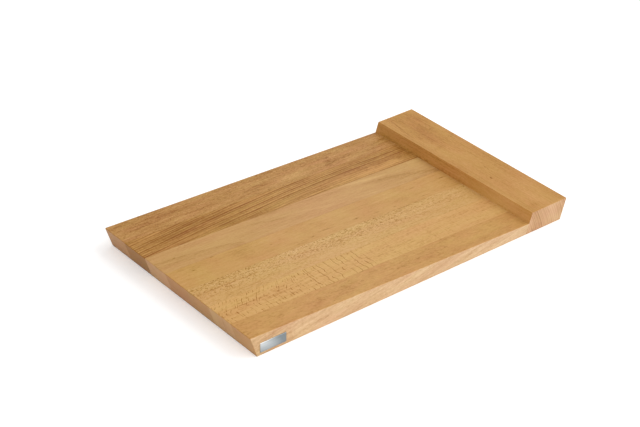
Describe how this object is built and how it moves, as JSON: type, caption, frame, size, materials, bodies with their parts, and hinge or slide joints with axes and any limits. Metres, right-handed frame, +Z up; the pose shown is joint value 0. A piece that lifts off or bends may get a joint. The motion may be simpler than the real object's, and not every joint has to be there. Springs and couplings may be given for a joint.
{
  "type": "cutting board",
  "caption": "Wedge-shaped beech cutting board: a sloping panel of edge-glued staves runs down to a raised end block, with leaning ends and a small bare metal badge on the front edge.",
  "frame": {"origin": "middle of the flat underside, on the surface that the board lies on", "axes": "+X along the board towards the raised end block, -Y out of the front edge that carries the badge, +Z up"},
  "size_m": [0.4494, 0.2708, 0.026],
  "materials": {
    "beech_mottled": "oiled beech, golden brown and mottled",
    "beech_striped": "oiled beech with dark growth lines",
    "beech_pale": "oiled beech, pale and smooth, with long sweeping figure",
    "beech_plain": "oiled beech, plain and yellowish",
    "beech_fine_fleck": "oiled beech with fine ray flecks",
    "beech_ray_fleck": "oiled quarter-sawn beech with large ray flecks",
    "beech_front": "oiled beech, plain orange-brown",
    "beech_block": "oiled beech, grain across the board",
    "beech_dowel": "raw fluted beech",
    "badge_steel": "brushed, bevelled edge, bare"
  },
  "bodies": {
    "root": {"stave_1": "beech_mottled", "stave_2": "beech_striped", "stave_3": "beech_pale", "stave_4": "beech_plain", "stave_5": "beech_fine_fleck", "stave_6": "beech_ray_fleck", "stave_7": "beech_front", "end_block": "beech_block", "dowel_1": "beech_dowel", "dowel_2": "beech_dowel", "dowel_3": "beech_dowel", "dowel_4": "beech_dowel", "dowel_5": "beech_dowel", "dowel_6": "beech_dowel", "dowel_7": "beech_dowel", "badge": "badge_steel"}
  },
  "joints": []
}
